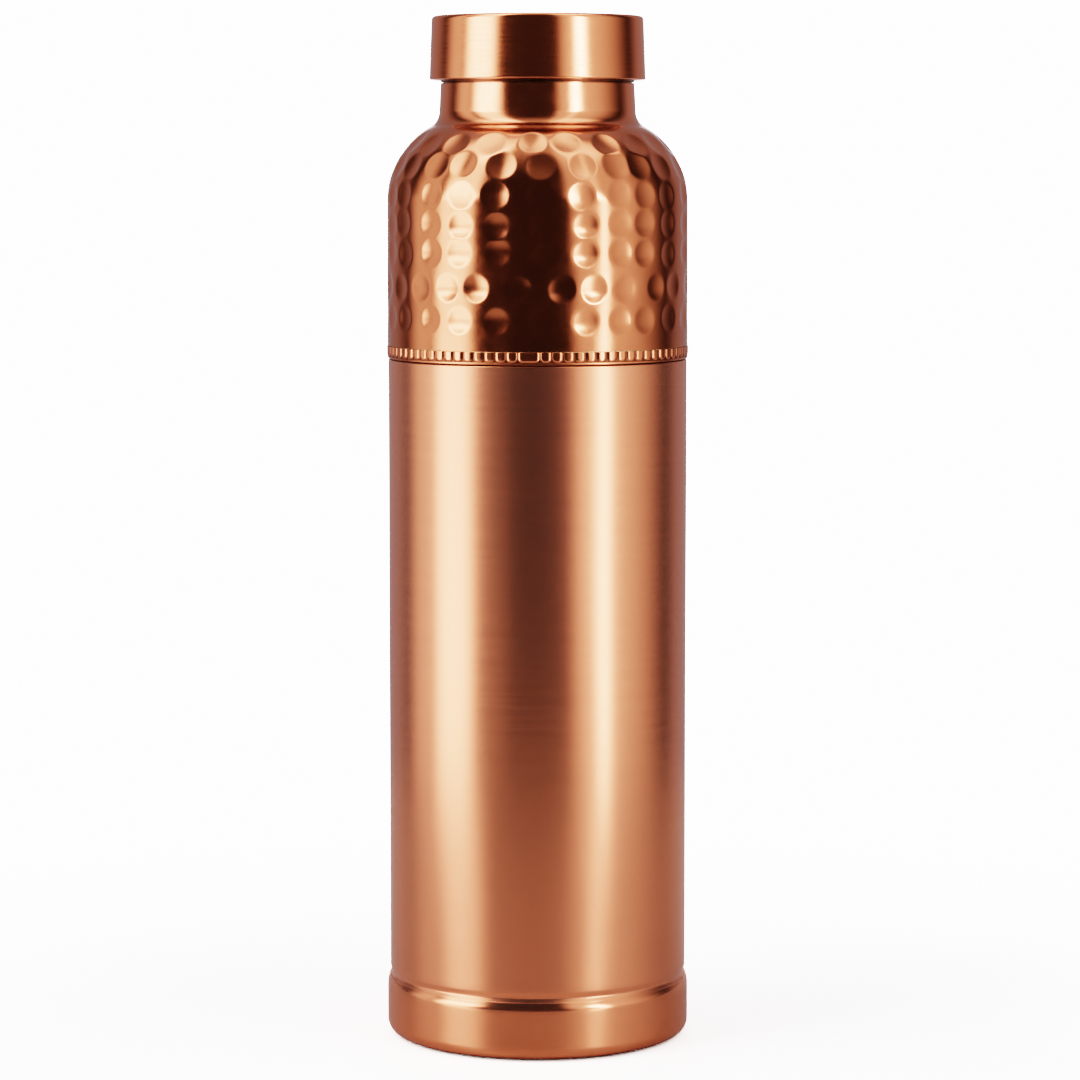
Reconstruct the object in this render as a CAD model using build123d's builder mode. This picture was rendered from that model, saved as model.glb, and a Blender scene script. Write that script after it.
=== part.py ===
"""A one-litre copper water bottle with a screw lid, as its separate pieces.

The bottle is sheet copper. A straight barrel tube carries three spun pieces: a foot cup pushed
over its lower end, a hammered shoulder lapped over its swaged upper end, and a beaded border
strip that hides that lap. A turned copper ring with a male thread is brazed into the neck.
The lid is a spun shell with a curled lower edge, a threaded ring brazed inside it, and a
silicone washer that lies loose above the thread. The lid turns on a right-hand thread, so it
climbs by one pitch for each turn anticlockwise, seen from above.

Frame: +Z is up, the origin is at the middle of the face that the bottle stands on.
Every outline is drawn in the XZ plane as (radius, height) and turned about Z. Millimetres.
"""

from build123d import *
import math
import os

# Sheet and joints
WALL = 0.5  # gauge of the spun and rolled sheet
FOOT_WALL = 0.6  # the foot cup is one gauge heavier
BRAZE_GAP = 0.1  # filler between two lapped walls
BRAZE_INSET = 0.2  # how far the filler stays inside a lap's outer edge
BRAZE_BEAD = 0.3  # the bead of filler at a lap's inner edge

# Foot cup
FOOT_R = 38.1
FOOT_EDGE_R = 3.2  # rounding between the standing face and the band
STANDING_INNER_R = 31.5
PANEL_R, PANEL_RISE = 29.5, 1.8  # the panel inside the standing face is pressed upwards
LIP_START_Z, LIP_TOP_Z, LIP_R = 11.9, 14.6, 8.3  # the band's top edge bends in to the barrel

# Barrel tube
BARREL_R = 37.4
BARREL_BOTTOM_Z = 3.6
GROOVE_Z, GROOVE_HALF, GROOVE_DEPTH = 15.7, 1.3, 0.35  # rolled groove above the foot cup
SWAGE_Z, SWAGE_DEPTH, SWAGE_RUN = 170.6, 0.4, 0.5  # the upper end steps in, to fit the shoulder
BARREL_TOP_Z = 183.5

# Beaded border, round the foot of the shoulder
BORDER_BOTTOM_Z, BORDER_HEIGHT = 171.15, 3.0
BORDER_FLANGE, BORDER_FLANGE_R = 0.5, 37.6  # the plain lower edge
BEAD_R = 37.75  # over the beads
BEAD_COUNT, BEAD_GAP_R = 82, 0.4  # beads of one length, and the round groove between two of them
JOINT_BEAD_ANGLE = -93.2  # where the ends of the strip meet, in one long bead
JOINT_BEAD_SHARE = 1.9  # its length, in beads

# Shoulder and neck
SLEEVE_R = 37.6
SLEEVE_BOTTOM_Z = BORDER_BOTTOM_Z + BORDER_HEIGHT + 0.05
DOME_R, DOME_Z = 21.0, 210.2
NECK_FILLET_R, NECK_BASE_R = 4.4, 24.5
NECK_LEAN, NECK_TOP_Z = 3.0, 239.6  # the neck leans in by this many degrees

# Screw thread, shared by the neck ring and the lid ring
PITCH = 4.0
NECK_TURNS, LID_TURNS = 2.4, 1.6
THREAD_START_Z = 242.4  # middle of the neck ridge at its lower end
RIDGE_BASE, RIDGE_CREST = 2.4, 1.0  # axial widths of a ridge
NECK_ROOT_R, NECK_CREST_R = 23.6, 24.7
LID_ROOT_R, LID_CREST_R = 24.9, 23.85
FLANK_GAP = 0.12  # between the flanks that carry the load
ROOTING = 0.15  # how far a ridge reaches into the ring that it grows from

# Neck ring
BORE_R = 22.2
RIM_Z = 253.6
SPIGOT_BOTTOM_Z = 233.6
COLLAR_HEIGHT = 0.8

# Lid
LID_BOTTOM_Z, LID_EDGE_Z, LID_TOP_Z = 240.1, 255.9, 256.5
LID_BOTTOM_R, LID_TOP_R = 26.95, 26.35
LID_CORNER_R = 1.0
CURL_INNER_R, CURL_HEIGHT, CURL_R = 25.95, 1.3, 0.45  # the lower edge is curled inwards
LID_RING_BOTTOM_Z, LID_RING_TOP_Z = 241.7, 253.4

# Seal washer
SEAL_R, SEAL_BORE_R = 25.5, 20.8
SEAL_BOTTOM_Z, SEAL_TOP_Z = RIM_Z + 0.05, 255.25

SWAGED_R = BARREL_R - SWAGE_DEPTH
BORDER_INNER_R = SWAGED_R + BRAZE_GAP


def neck_r(height, depth=0.0):
    """Radius of the leaning neck at a height, on its outer face or at a depth inside it."""
    return NECK_BASE_R - (height - neck_base_z) * math.tan(neck_lean) - depth / math.cos(neck_lean)


def lid_r(height, depth=0.0):
    """Radius of the lid's leaning wall at a height, on its outer face or at a depth inside it."""
    return LID_BOTTOM_R - (height - LID_BOTTOM_Z) * math.tan(lid_lean) - depth / math.cos(lid_lean)


def wall_line(wall_r, bottom_z, top_z, gap=0.0):
    """The two ends, upper one last, of a line that follows a wall's inner face at a gap from it."""
    return [(wall_r(height, WALL + gap), height) for height in (bottom_z, top_z)]


def ridge_outline(root, crest, height):
    """A ridge's section: a trapezoid with straight flanks that starts ROOTING inside its ring."""
    sunk = root - math.copysign(ROOTING, crest - root)
    widening = (RIDGE_BASE - RIDGE_CREST) * ROOTING / abs(crest - root)
    base, tip = (RIDGE_BASE + widening) / 2, RIDGE_CREST / 2
    return [
        (sunk, height - base),
        (sunk, height + base),
        (crest, height + tip),
        (crest, height - tip),
    ]


def flank_offset():
    """Axial distance from a neck ridge's middle down to the lid ridge's that bears on it."""
    middle = (NECK_ROOT_R + NECK_CREST_R + LID_ROOT_R + LID_CREST_R) / 4
    widening = RIDGE_BASE - RIDGE_CREST
    neck = RIDGE_BASE - widening * (middle - NECK_ROOT_R) / (NECK_CREST_R - NECK_ROOT_R)
    lid = RIDGE_BASE - widening * (LID_ROOT_R - middle) / (LID_ROOT_R - LID_CREST_R)
    return (neck + lid) / 2 + FLANK_GAP


# --- foot cup: standing face, rounded edge, band, and a lip that bends in to the barrel ---------
with BuildPart() as foot_cup:
    with BuildSketch(Plane.XZ):
        with BuildLine():
            lip = CenterArc(
                (FOOT_R - LIP_R, LIP_START_Z),
                LIP_R,
                0,
                math.degrees(math.asin((LIP_TOP_Z - LIP_START_Z) / LIP_R)),
            )
            edge = CenterArc((FOOT_R - FOOT_EDGE_R, FOOT_EDGE_R), FOOT_EDGE_R, -90, 90)
            Line(edge @ 1, lip @ 0)
            Polyline((0, PANEL_RISE), (PANEL_R, PANEL_RISE), (STANDING_INNER_R, 0), edge @ 0)
            inner_edge = CenterArc(
                (FOOT_R - FOOT_EDGE_R, FOOT_EDGE_R), FOOT_EDGE_R - FOOT_WALL, -90, 90
            )
            Polyline(inner_edge @ 1, (FOOT_R - FOOT_WALL, LIP_TOP_Z), lip @ 1)
            Polyline(
                (0, PANEL_RISE),
                (0, PANEL_RISE + FOOT_WALL),
                (PANEL_R + FOOT_WALL / 3, PANEL_RISE + FOOT_WALL),
                (STANDING_INNER_R + FOOT_WALL / 3, FOOT_WALL),
                inner_edge @ 0,
            )
        make_face()
    revolve(axis=Axis.Z)
foot_cup.part.label = "foot_cup"

# --- barrel tube: straight, with a rolled groove above the foot and a swaged upper end ----------
with BuildPart() as barrel_tube:
    with BuildSketch(Plane.XZ):
        with BuildLine():
            Line((BARREL_R, BARREL_BOTTOM_Z), (BARREL_R, GROOVE_Z - GROOVE_HALF))
            groove = ThreePointArc(
                (BARREL_R, GROOVE_Z - GROOVE_HALF),
                (BARREL_R - GROOVE_DEPTH, GROOVE_Z),
                (BARREL_R, GROOVE_Z + GROOVE_HALF),
            )
            Polyline(
                groove @ 1,
                (BARREL_R, SWAGE_Z),
                (SWAGED_R, SWAGE_Z + SWAGE_RUN),
                (SWAGED_R, BARREL_TOP_Z),
            )
            offset(amount=WALL, side=Side.LEFT)
        make_face()
    revolve(axis=Axis.Z)
barrel_tube.part.label = "barrel_tube"

# --- shoulder shell: sleeve, dome, fillet and neck, spun from one sheet -------------------------
neck_lean = math.radians(NECK_LEAN)
fillet_r = NECK_BASE_R + NECK_FILLET_R * math.cos(neck_lean)
dome_centre_r = SLEEVE_R - DOME_R
fillet_z = DOME_Z + math.sqrt((DOME_R + NECK_FILLET_R) ** 2 - (fillet_r - dome_centre_r) ** 2)
dome_sweep = math.degrees(math.atan2(fillet_z - DOME_Z, fillet_r - dome_centre_r))
neck_base_z = fillet_z - NECK_FILLET_R * math.sin(neck_lean)
neck_top_r = neck_r(NECK_TOP_Z)

with BuildPart() as shoulder_shell:
    with BuildSketch(Plane.XZ):
        with BuildLine():
            dome = CenterArc((dome_centre_r, DOME_Z), DOME_R, 0, dome_sweep)
            Line((SLEEVE_R, SLEEVE_BOTTOM_Z), dome @ 0)
            neck_fillet = CenterArc(
                (fillet_r, fillet_z),
                NECK_FILLET_R,
                180 + dome_sweep,
                NECK_LEAN - dome_sweep,
            )
            Line(neck_fillet @ 1, (neck_top_r, NECK_TOP_Z))
            offset(amount=WALL, side=Side.LEFT)
        make_face()
    revolve(axis=Axis.Z)
shoulder_shell.part.label = "shoulder_shell"

# --- bead border: a beaded strip bent round the barrel, its ends meeting in one long bead -------
bead_pitch = 360 / (BEAD_COUNT + JOINT_BEAD_SHARE)
first_gap = JOINT_BEAD_ANGLE + bead_pitch * JOINT_BEAD_SHARE / 2

with BuildPart() as bead_border:
    with BuildSketch(Plane.XY.offset(BORDER_BOTTOM_Z)):
        Circle(BORDER_FLANGE_R)
        Circle(BORDER_INNER_R, mode=Mode.SUBTRACT)
    extrude(amount=BORDER_FLANGE)
    with BuildSketch(Plane.XY.offset(BORDER_BOTTOM_Z + BORDER_FLANGE)):
        Circle(BEAD_R)
        Circle(BORDER_INNER_R, mode=Mode.SUBTRACT)
        with PolarLocations(
            BEAD_R, BEAD_COUNT + 1, first_gap, BEAD_COUNT * bead_pitch, endpoint=True
        ):
            Circle(BEAD_GAP_R, mode=Mode.SUBTRACT)
    extrude(amount=BORDER_HEIGHT - BORDER_FLANGE)
bead_border.part.label = "bead_border"

# --- neck thread ring: spigot inside the neck, collar on its edge, male thread above ------------
with BuildPart() as neck_thread_ring:
    with BuildSketch(Plane.XZ) as neck_section:
        with BuildLine():
            Polyline(
                (BORE_R, SPIGOT_BOTTOM_Z),
                *wall_line(neck_r, SPIGOT_BOTTOM_Z, NECK_TOP_Z, BRAZE_GAP),
                (neck_top_r, NECK_TOP_Z),
                (neck_top_r, NECK_TOP_Z + COLLAR_HEIGHT),
                (NECK_ROOT_R, NECK_TOP_Z + COLLAR_HEIGHT),
                (NECK_ROOT_R, RIM_Z),
                (BORE_R, RIM_Z),
                close=True,
            )
        make_face()
        fillet(neck_section.vertices().group_by(Axis.Y)[-1], 0.5)
        chamfer(neck_section.vertices().group_by(Axis.Y)[0].sort_by(Axis.X)[0], 0.8)
    revolve(axis=Axis.Z)
    with BuildLine(mode=Mode.PRIVATE) as neck_helix:
        Helix(PITCH, NECK_TURNS * PITCH, NECK_ROOT_R, center=(0, 0, THREAD_START_Z))
    with BuildSketch(Plane.XZ):
        with BuildLine():
            Polyline(ridge_outline(NECK_ROOT_R, NECK_CREST_R, THREAD_START_Z), close=True)
        make_face()
    sweep(path=neck_helix.line, is_frenet=True)
neck_thread_ring.part.label = "neck_thread_ring"

# --- lid shell: domed crown, tapered wall, curled lower edge -------------------------------------
lid_lean = math.atan((LID_BOTTOM_R - LID_TOP_R) / (LID_EDGE_Z - LID_BOTTOM_Z))
crown_rise = LID_TOP_Z - LID_EDGE_Z
crown_r = (LID_TOP_R**2 + crown_rise**2) / (2 * crown_rise)

with BuildPart() as lid_shell:
    with BuildSketch(Plane.XZ):
        with BuildLine():
            crown = CenterArc(
                (0, LID_TOP_Z - crown_r),
                crown_r,
                90,
                -math.degrees(math.asin(LID_TOP_R / crown_r)),
            )
            Polyline(
                crown @ 1, (LID_BOTTOM_R, LID_BOTTOM_Z), (0, LID_BOTTOM_Z), (0, LID_TOP_Z)
            )
        make_face()
    revolve(axis=Axis.Z)
    rings = lid_shell.edges().filter_by(lambda edge: edge.is_closed)
    fillet(rings.sort_by(Axis.Z)[-1], LID_CORNER_R)
    offset(amount=-WALL, openings=lid_shell.faces().sort_by(Axis.Z)[0])
    with BuildSketch(Plane.XZ):
        with BuildLine():
            curl_top_z = LID_BOTTOM_Z + CURL_HEIGHT
            Polyline(
                (CURL_INNER_R, LID_BOTTOM_Z),
                (LID_BOTTOM_R, LID_BOTTOM_Z),
                (lid_r(curl_top_z, WALL / 2), curl_top_z),
                (CURL_INNER_R, curl_top_z),
                close=True,
            )
        make_face()
    revolve(axis=Axis.Z)
    fillet(lid_shell.edges().group_by(Axis.Z)[0], CURL_R)
lid_shell.part.label = "lid_shell"

# --- lid thread ring: turned ring with the female thread, brazed inside the shell ----------------
with BuildPart() as lid_thread_ring:
    with BuildSketch(Plane.XZ) as ring_section:
        with BuildLine():
            Polyline(
                (LID_ROOT_R, LID_RING_BOTTOM_Z),
                *wall_line(lid_r, LID_RING_BOTTOM_Z, LID_RING_TOP_Z, BRAZE_GAP),
                (LID_ROOT_R, LID_RING_TOP_Z),
                close=True,
            )
        make_face()
        chamfer(ring_section.vertices().group_by(Axis.Y)[0].sort_by(Axis.X)[0], 0.4)
    revolve(axis=Axis.Z)
    lid_thread_z = THREAD_START_Z + PITCH - flank_offset()
    with BuildLine(mode=Mode.PRIVATE) as lid_helix:
        Helix(PITCH, LID_TURNS * PITCH, LID_ROOT_R, center=(0, 0, lid_thread_z))
    with BuildSketch(Plane.XZ):
        with BuildLine():
            Polyline(ridge_outline(LID_ROOT_R, LID_CREST_R, lid_thread_z), close=True)
        make_face()
    sweep(path=lid_helix.line, is_frenet=True)
lid_thread_ring.part.label = "lid_thread_ring"

# --- lid seal: silicone washer, loose between the lid's thread ring and its crown ----------------
with BuildPart() as lid_seal:
    with BuildSketch(Plane.XY.offset(SEAL_BOTTOM_Z)):
        Circle(SEAL_R)
        Circle(SEAL_BORE_R, mode=Mode.SUBTRACT)
    extrude(amount=SEAL_TOP_Z - SEAL_BOTTOM_Z)
    fillet(lid_seal.edges().filter_by(GeomType.CIRCLE), 0.3)
lid_seal.part.label = "lid_seal"


def braze(corners):
    """A ring of silver braze with the given (radius, height) corners."""
    with BuildPart() as filler:
        with BuildSketch(Plane.XZ):
            with BuildLine():
                Polyline(corners, close=True)
            make_face()
        revolve(axis=Axis.Z)
    return filler.part


# --- braze seams: filler in the laps, with a small bead at the edge inside the bottle ------------
shoulder_braze = braze(
    [
        (SWAGED_R, BORDER_BOTTOM_Z + BRAZE_INSET),
        (BORDER_INNER_R, BORDER_BOTTOM_Z + BRAZE_INSET),
        (BORDER_INNER_R, BARREL_TOP_Z + BRAZE_BEAD),
        (SWAGED_R - BRAZE_BEAD, BARREL_TOP_Z),
        (SWAGED_R, BARREL_TOP_Z),
    ]
)
shoulder_braze.label = "shoulder_braze"

foot_braze = braze(
    [
        (BARREL_R, BARREL_BOTTOM_Z + BRAZE_INSET),
        (FOOT_R - FOOT_WALL, BARREL_BOTTOM_Z + BRAZE_INSET),
        (FOOT_R - FOOT_WALL, GROOVE_Z - GROOVE_HALF - BRAZE_INSET),
        (BARREL_R, GROOVE_Z - GROOVE_HALF - BRAZE_INSET),
    ]
)
foot_braze.label = "foot_braze"

neck_braze = braze(
    wall_line(neck_r, SPIGOT_BOTTOM_Z, NECK_TOP_Z - BRAZE_INSET)
    + wall_line(neck_r, SPIGOT_BOTTOM_Z, NECK_TOP_Z - BRAZE_INSET, BRAZE_GAP)[::-1]
)
neck_braze.label = "neck_braze"

lid_seam = (LID_RING_BOTTOM_Z + BRAZE_INSET, LID_RING_TOP_Z - BRAZE_INSET)
lid_braze = braze(
    wall_line(lid_r, *lid_seam) + wall_line(lid_r, *lid_seam, BRAZE_GAP)[::-1]
)
lid_braze.label = "lid_braze"

pieces = [
    foot_cup.part,
    barrel_tube.part,
    shoulder_shell.part,
    bead_border.part,
    neck_thread_ring.part,
    lid_shell.part,
    lid_thread_ring.part,
    lid_seal.part,
    shoulder_braze,
    foot_braze,
    neck_braze,
    lid_braze,
]
os.makedirs("parts", exist_ok=True)
for piece in pieces:
    export_step(piece, f"parts/{piece.label}.step")
    print(f"{piece.label:18s} {len(piece.solids())} solid, {piece.volume / 1000:7.3f} cm3")
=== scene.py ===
# %% [markdown]
# # A copper water bottle
# The bottle is drawn and spun from sheet copper: a brushed barrel, a hammered shoulder with a beaded
# border, a foot cup and a screw lid.
# The working model gives the frame: where each piece stands, and which body it moves with.
# This lesson gives each piece its finished skin, and then its metal.

import math

import bpy
import numpy as np
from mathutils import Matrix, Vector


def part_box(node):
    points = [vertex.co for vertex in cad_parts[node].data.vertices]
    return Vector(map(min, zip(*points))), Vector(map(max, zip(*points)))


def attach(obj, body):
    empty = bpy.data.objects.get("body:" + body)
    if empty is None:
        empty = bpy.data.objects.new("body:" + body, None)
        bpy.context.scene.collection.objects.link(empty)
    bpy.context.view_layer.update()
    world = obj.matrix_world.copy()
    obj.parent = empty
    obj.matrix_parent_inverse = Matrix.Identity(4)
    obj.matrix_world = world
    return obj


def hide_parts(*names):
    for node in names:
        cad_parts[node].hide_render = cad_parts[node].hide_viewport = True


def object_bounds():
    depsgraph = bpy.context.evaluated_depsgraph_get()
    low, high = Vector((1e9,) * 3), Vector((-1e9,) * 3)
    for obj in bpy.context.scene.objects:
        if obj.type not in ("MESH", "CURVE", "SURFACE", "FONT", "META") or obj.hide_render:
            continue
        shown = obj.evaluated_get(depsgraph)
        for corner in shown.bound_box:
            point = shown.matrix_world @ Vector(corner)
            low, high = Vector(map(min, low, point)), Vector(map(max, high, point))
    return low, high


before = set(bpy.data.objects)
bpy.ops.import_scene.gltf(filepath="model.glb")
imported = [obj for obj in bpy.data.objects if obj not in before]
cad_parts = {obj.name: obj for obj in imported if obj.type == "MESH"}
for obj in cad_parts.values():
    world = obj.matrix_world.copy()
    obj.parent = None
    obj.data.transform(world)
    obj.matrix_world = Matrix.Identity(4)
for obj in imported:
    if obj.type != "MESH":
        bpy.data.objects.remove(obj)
cad_low, cad_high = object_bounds()
print("the frame is", [round(side * 1000, 1) for side in cad_high - cad_low], "mm")

# %% [markdown]
# ## Outlines, as on a spinner's drawing
# Every piece of this bottle is round, and a metal spinner draws such a piece as half a section: a line
# in the plane of radius and height. Blender could turn a curve with its Screw modifier.
# Here the outline is an array of points in millimetres, so that later steps can bend, dent or thread
# the surface with a formula.
# A real edge is never sharp, so each corner of an outline is replaced by a small arc.

# %% Helpers for outlines
MM = 0.001
GUARD = 0.05  # distance of a guard point from the arc beside it, in millimetres


def reach(node):
    """Radius, lowest height and highest height of a CAD node that stands on the axis, in millimetres."""
    low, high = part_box(node)
    return high.x / MM, low.z / MM, high.z / MM


def arc(centre, radius, start, end, steps):
    """Part of a circle: centre + radius * (cos a, sin a), with a running evenly from start to end degrees."""
    angle = np.radians(np.linspace(start, end, steps + 1))
    return np.array(centre) + radius * np.column_stack([np.cos(angle), np.sin(angle)])


def round_corner(before, corner, after, radius, steps=6):
    """An arc that touches both sides of a corner: its centre lies on the line that halves the corner,
    radius / sin(half) away, and the arc starts and ends radius / tan(half) from the corner."""
    before, corner, after = (np.array(p, float) for p in (before, corner, after))
    if not radius:
        return corner[None]
    back = (before - corner) / np.linalg.norm(before - corner)
    ahead = (after - corner) / np.linalg.norm(after - corner)
    half = math.acos(np.clip(back @ ahead, -1, 1)) / 2
    middle = (back + ahead) / np.linalg.norm(back + ahead)
    centre = corner + middle * radius / math.sin(half)
    first, last = (corner + way * radius / math.tan(half) - centre for way in (back, ahead))
    start = math.degrees(math.atan2(first[1], first[0]))
    end = math.degrees(math.atan2(last[1], last[0]))
    sweep = (end - start + 180) % 360 - 180
    return arc(centre, radius, start, start + sweep, steps)


def rounded(corners, closed=True):
    """Stretches of an outline through corners (radius, height, rounding), one arc for each corner."""
    count = len(corners)
    stretches = []
    for i, (r, z, rounding) in enumerate(corners):
        before, after = corners[i - 1], corners[(i + 1) % count]
        end = not closed and i in (0, count - 1)
        stretches.append(round_corner(before[:2], (r, z), after[:2], 0 if end else rounding))
    return stretches


def join(stretches, closed=True):
    """One outline from its stretches. A straight run gets a guard point just inside each end, so that
    the smooth shading of an arc doesn't creep along the flat beside it."""
    points = []
    following = stretches[1:] + (stretches[:1] if closed else [None])
    for stretch, after in zip(stretches, following):
        points.append(stretch)
        if after is None:
            continue
        gap = after[0] - stretch[-1]
        length = np.linalg.norm(gap)
        if length < 1e-6:
            points[-1] = stretch[:-1]
        elif length > 4 * GUARD:
            step = gap / length * GUARD
            points.append(np.array([stretch[-1] + step, after[0] - step]))
    return np.concatenate(points)


# %% [markdown]
# ## From an outline to a skin
# Turning an outline about the axis gives a grid: rows follow the outline, and columns follow the angle.
# The grid is worked out as whole arrays and handed to the mesh in one go.
# The outline runs up the outside and down the inside, which makes every face look outwards.
# A row of zero radius is a pole, and becomes one point with a fan of triangles, so the skin has no hole.
# The mesh also gets a UV map that runs once round the piece, because brushed metal needs to know
# which way its scratches run.
# Some pieces change with the angle in one stretch only, as at a thread, so a second helper stacks plain
# outlines and such stretches. A third is the soft step that lets dents and ridges begin gently.

# %% Helpers that make a skin
FULL_TURN = 2 * math.pi


def columns(count):
    """Even angles round the axis, in radians."""
    return np.arange(count) / count * FULL_TURN


def skin(name, r, z, angle, closed=True):
    """A turned piece. Row i and column j is the point (r cos t, r sin t, z), where r and z are given by
    row, or by row and column, and t is the column's angle. The last column joins the first, and in a
    closed outline the last row joins the first as well."""
    rows, count = len(r), len(angle)
    r, z = (np.broadcast_to(np.reshape(a, (rows, -1)), (rows, count)) * MM for a in (r, z))
    points = np.stack([r * np.cos(angle), r * np.sin(angle), z], -1).reshape(-1, 3)
    index = np.arange(rows * count).reshape(rows, count)
    first_pole, last_pole = (not closed and r[row, 0] < 1e-9 for row in (0, -1))
    if first_pole:
        points, index = points[count - 1 :], index - (count - 1)
        index[0] = 0
    if last_pole:
        points = points[: len(points) - (count - 1)]
        index[-1] = index[-1, 0]
    low, high = (index, np.roll(index, -1, 0)) if closed else (index[:-1], index[1:])
    corners = np.stack([low, np.roll(low, -1, 1), np.roll(high, -1, 1), high], -1)
    step = np.hypot(np.diff(r[:, 0]), np.diff(z[:, 0]))
    v = np.concatenate([[0], np.cumsum(step)])
    v = np.append(v, v[-1] + GUARD * MM) if closed else v
    u = np.arange(count + 1) / count
    u, v = np.meshgrid(u, v)
    maps = np.stack([u[:-1, :-1], v[:-1, :-1], u[:-1, 1:], v[:-1, 1:]], -1)
    maps = np.concatenate([maps, np.stack([u[1:, 1:], v[1:, 1:], u[1:, :-1], v[1:, :-1]], -1)], -1)
    maps = maps.reshape(*corners.shape, 2)
    body = slice(int(first_pole), len(low) - int(last_pole))
    fans = [(0, [0, 2, 3])] * first_pole + [(-1, [0, 1, 2])] * last_pole
    faces = corners[body].reshape(-1, 4).tolist()
    uvs = [maps[body].reshape(-1, 2)]
    for row, three in fans:
        faces += corners[row][:, three].tolist()
        uvs.append(maps[row][:, three].reshape(-1, 2))
    mesh = bpy.data.meshes.new(name)
    mesh.from_pydata(points, [], faces)
    mesh.uv_layers.new(name="round").data.foreach_set("uv", np.concatenate(uvs).ravel())
    mesh.shade_smooth()
    piece = bpy.data.objects.new(name, mesh)
    bpy.context.scene.collection.objects.link(piece)
    print(f"{name}: {sum(len(face) - 2 for face in faces)} triangles")
    return piece


def stacked(parts, angle):
    """Radii and heights for skin() from parts in order. A part is an outline, which is the same all
    round, or a pair: a grid of radii by row and column, and the height of each of its rows."""
    radii, heights = [], []
    for part in parts:
        if isinstance(part, tuple):
            grid, levels = part
        else:
            grid, levels = np.repeat(part[:, :1], len(angle), axis=1), part[:, 1]
        radii.append(grid)
        heights.append(levels)
    return np.concatenate(radii), np.concatenate(heights)


def smooth_step(value, start, end):
    """0 before start, 1 after end, and 3 s^2 - 2 s^3 between them, where s is the share of the way."""
    s = np.clip((value - start) / (end - start), 0, 1)
    return s * s * (3 - 2 * s)


# %% [markdown]
# ## Foot cup
# A spun cup is pushed over the lower end of the barrel and brazed there. It has a ring to stand on, a
# base panel pushed up so that it can't rock, a rounded lower edge, a plain band, and a lip that curves
# in towards the barrel.
# It could be a lathe turn with bevels. An outline with arcs says the same radii directly.

# %% Foot cup
FOOT_WALL = 0.6
foot_r, _, foot_high = reach("foot_cup")
edge, panel_rise = 3.2, 1.8
stand_r, panel_r = 31.5, 29.5
lip_start, lip_bend, lip_round = 11.9, 8.3, 0.075
lip_angle = math.degrees(math.asin((foot_high - lip_start) / lip_bend))
panel = [(0, panel_rise, 0), (panel_r, panel_rise, 1.0), (stand_r, 0, 0.8), (foot_r, 0, 0)]
underside = rounded(panel, closed=False)[:-1]
lip = arc((foot_r - lip_bend, lip_start), lip_bend, 0, lip_angle, 14)
lip_rim = arc(lip[-1] - (lip_round, 0), lip_round, 10, 170, 4)
inner_r = foot_r - FOOT_WALL
inside = [
    (inner_r, foot_high, 0),
    (inner_r, FOOT_WALL, edge - FOOT_WALL),
    (stand_r + 0.3, FOOT_WALL, 0.8),
    (panel_r, panel_rise + FOOT_WALL, 1.0),
    (0, panel_rise + FOOT_WALL, 0),
]
bottom_edge = arc((foot_r - edge, edge), edge, -90, 0, 14)
cup = join(underside + [bottom_edge, lip, lip_rim] + rounded(inside, closed=False)[1:], closed=False)
foot_cup = skin("Foot_cup", *cup.T, columns(256), closed=False)
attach(foot_cup, "bottle")
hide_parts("foot_cup")

# %% [markdown]
# ## Barrel
# The barrel is a drawn tube. A roller has pressed a shallow groove into it just above the foot cup,
# and its upper end is swaged in by a sheet's thickness so that the shoulder can slide over it.
# No hand-made tube is perfectly round: the skin wanders in and out by a few hundredths of a
# millimetre, in long slow waves that make the reflections of tall lamps look alive.

# %% Barrel
WALL = 0.5
barrel_r, barrel_low, barrel_high = reach("barrel_tube")
border_r, border_low, border_high = reach("bead_border")
groove_z, groove_width, groove_depth = 15.7, 3.0, 0.35
swage_r, swage_length = 37.0, 0.5
swage_z = border_low - 0.05
calm_below, wander_above = 12, 30  # the foot cup holds the tube round up to here


def barrel_outer(z):
    """Radius of the barrel at height z: the tube, less a groove shaped like one wave of a cosine, and
    less the swage, which is a soft step."""
    across = np.clip((z - groove_z) / groove_width, -0.5, 0.5)
    groove = groove_depth * (1 + np.cos(FULL_TURN * across)) / 2
    swage = (barrel_r - swage_r) * smooth_step(z, swage_z - swage_length, swage_z)
    return barrel_r - groove - swage


def waves(angle, z):
    """Slow wander of a spun skin in millimetres: three sine waves that run round the piece a whole number
    of times, each with its own climb along the height."""
    first = np.sin(3 * angle + z / 19)
    second = np.sin(5 * angle - z / 11 + 1.0)
    third = np.sin(8 * angle + z / 27 + 2.2)
    return 0.018 * first + 0.009 * second + 0.005 * third


groove_levels = np.linspace(groove_z - groove_width / 2, groove_z + groove_width / 2, 25)
swage_levels = np.linspace(swage_z - swage_length, swage_z, 9)
plain_levels = np.linspace(barrel_low + 1, barrel_high - 1, 90)
all_levels = [[barrel_low], plain_levels, [barrel_high], groove_levels, swage_levels]
tube_z = np.unique(np.concatenate(all_levels))
tube_angle = columns(256)
wander = waves(tube_angle, tube_z[:, None]) * smooth_step(tube_z, calm_below, wander_above)[:, None]
tube_r = barrel_outer(tube_z)[:, None] + wander
tube = stacked([(tube_r, tube_z), ((tube_r - WALL)[::-1], tube_z[::-1])], tube_angle)
barrel = skin("Barrel", *tube, tube_angle)
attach(barrel, "bottle")
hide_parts("barrel_tube")

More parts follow.
